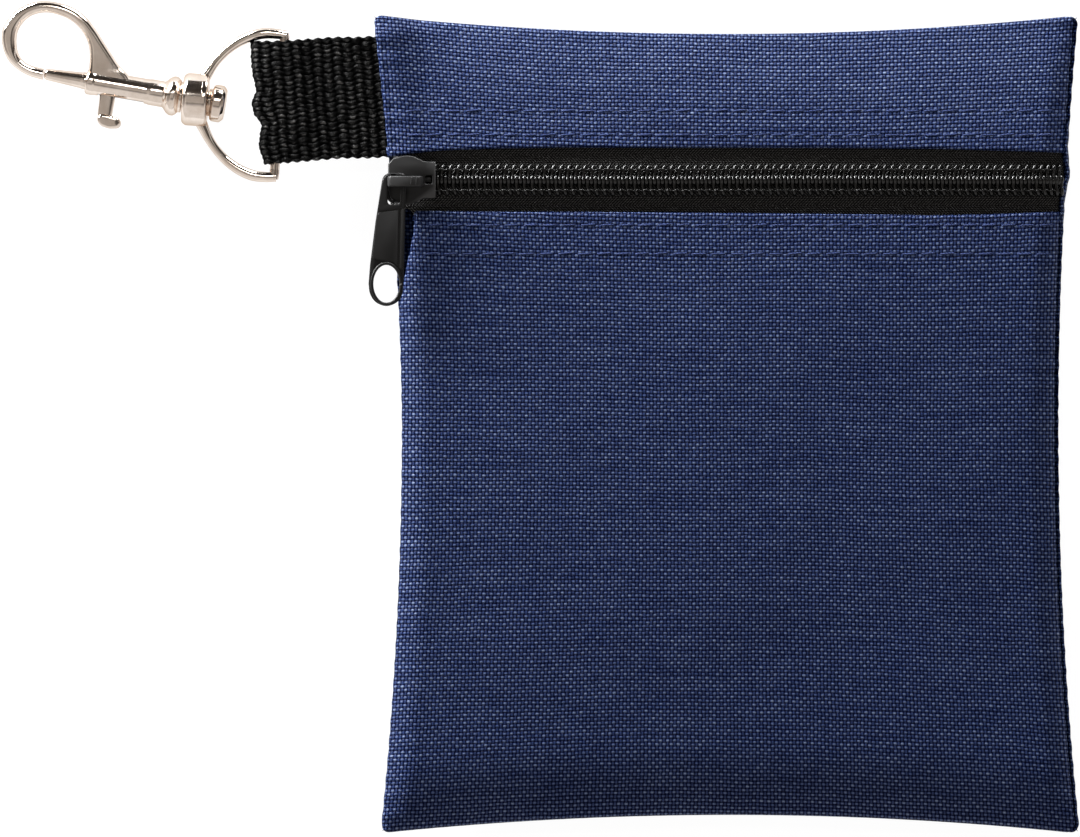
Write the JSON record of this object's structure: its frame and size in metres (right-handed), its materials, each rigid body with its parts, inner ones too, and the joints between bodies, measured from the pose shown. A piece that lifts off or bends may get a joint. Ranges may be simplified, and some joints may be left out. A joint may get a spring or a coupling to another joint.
{
  "type": "zipped cash pouch",
  "caption": "Flat zipped fabric pouch with a webbing tab in its left seam, holding a D-ring and a swivel trigger hook.",
  "frame": {"origin": "middle of the flat back face, under the centre of the pouch", "axes": "+X along the zip away from the tab, +Y towards the top edge, +Z out of the front face"},
  "size_m": [0.2173, 0.1679, 0.0137],
  "materials": {
    "navy_cloth": "coated 600D plain weave",
    "navy_thread": "bonded polyester thread",
    "zip_tape": "fine twill tape",
    "zip_coil": "polyester monofilament",
    "black_webbing": "coarse polypropylene webbing",
    "black_metal": "satin black enamel on zinc",
    "bright_nickel": "polished nickel plate on zinc",
    "spring_steel": "plain spring wire"
  },
  "bodies": {
    "pouch": {"back_panel": "navy_cloth", "front_lower_panel": "navy_cloth", "front_top_panel": "navy_cloth", "seam_thread": "navy_thread", "topstitch_upper_far": "navy_thread", "topstitch_upper_near": "navy_thread", "topstitch_lower_near": "navy_thread", "topstitch_lower_far": "navy_thread", "zipper_tape_upper": "zip_tape", "zipper_tape_lower": "zip_tape", "zipper_coil_upper": "zip_coil", "zipper_coil_lower": "zip_coil", "tab_tail": "black_webbing"},
    "slider": {"slider_body": "black_metal", "slider_bridge": "black_metal", "slider_lock_pin": "spring_steel"},
    "pull": {"pull_tab": "black_metal"},
    "tab": {"tab_loop": "black_webbing"},
    "ring": {"d_ring": "bright_nickel"},
    "hook": {"hook_body": "bright_nickel", "swivel_stud": "bright_nickel", "latch_spring": "spring_steel"},
    "latch": {"latch_bolt": "bright_nickel"}
  },
  "joints": [
    {"name": "slider_travel", "type": "slide", "parent": "pouch", "child": "slider", "axis": [1, 0, 0], "range_m": [0, 0.118], "deforming": ["zipper_tape_upper", "zipper_tape_lower", "zipper_coil_upper", "zipper_coil_lower"]},
    {"name": "pull_swing", "type": "hinge", "parent": "slider", "child": "pull", "pos_m": [-0.06775, 0.0488, 0.0111], "axis": [0, 0, -1], "range_deg": [0, 180]},
    {"name": "tab_flex", "type": "hinge", "parent": "pouch", "child": "tab", "pos_m": [-0.0714, 0.0661, 0.0054], "axis": [-0.0802, 0.9968, 0], "range_deg": [-60, 60]},
    {"name": "ring_swing", "type": "hinge", "parent": "tab", "child": "ring", "pos_m": [-0.09105, 0.06423, 0.0054], "axis": [0.075, 0.9972, 0], "range_deg": [-100, 100]},
    {"name": "hook_swivel", "type": "hinge", "parent": "ring", "child": "hook", "pos_m": [-0.108, 0.0655, 0.0054], "axis": [0.9857, -0.1685, 0], "continuous": true},
    {"name": "latch_slide", "type": "slide", "parent": "hook", "child": "latch", "axis": [0.9857, -0.1685, 0], "range_m": [0, 0.0055], "stiffness_N_per_m": 250, "springref_m": -0.003, "deforming": ["latch_spring"]}
  ]
}
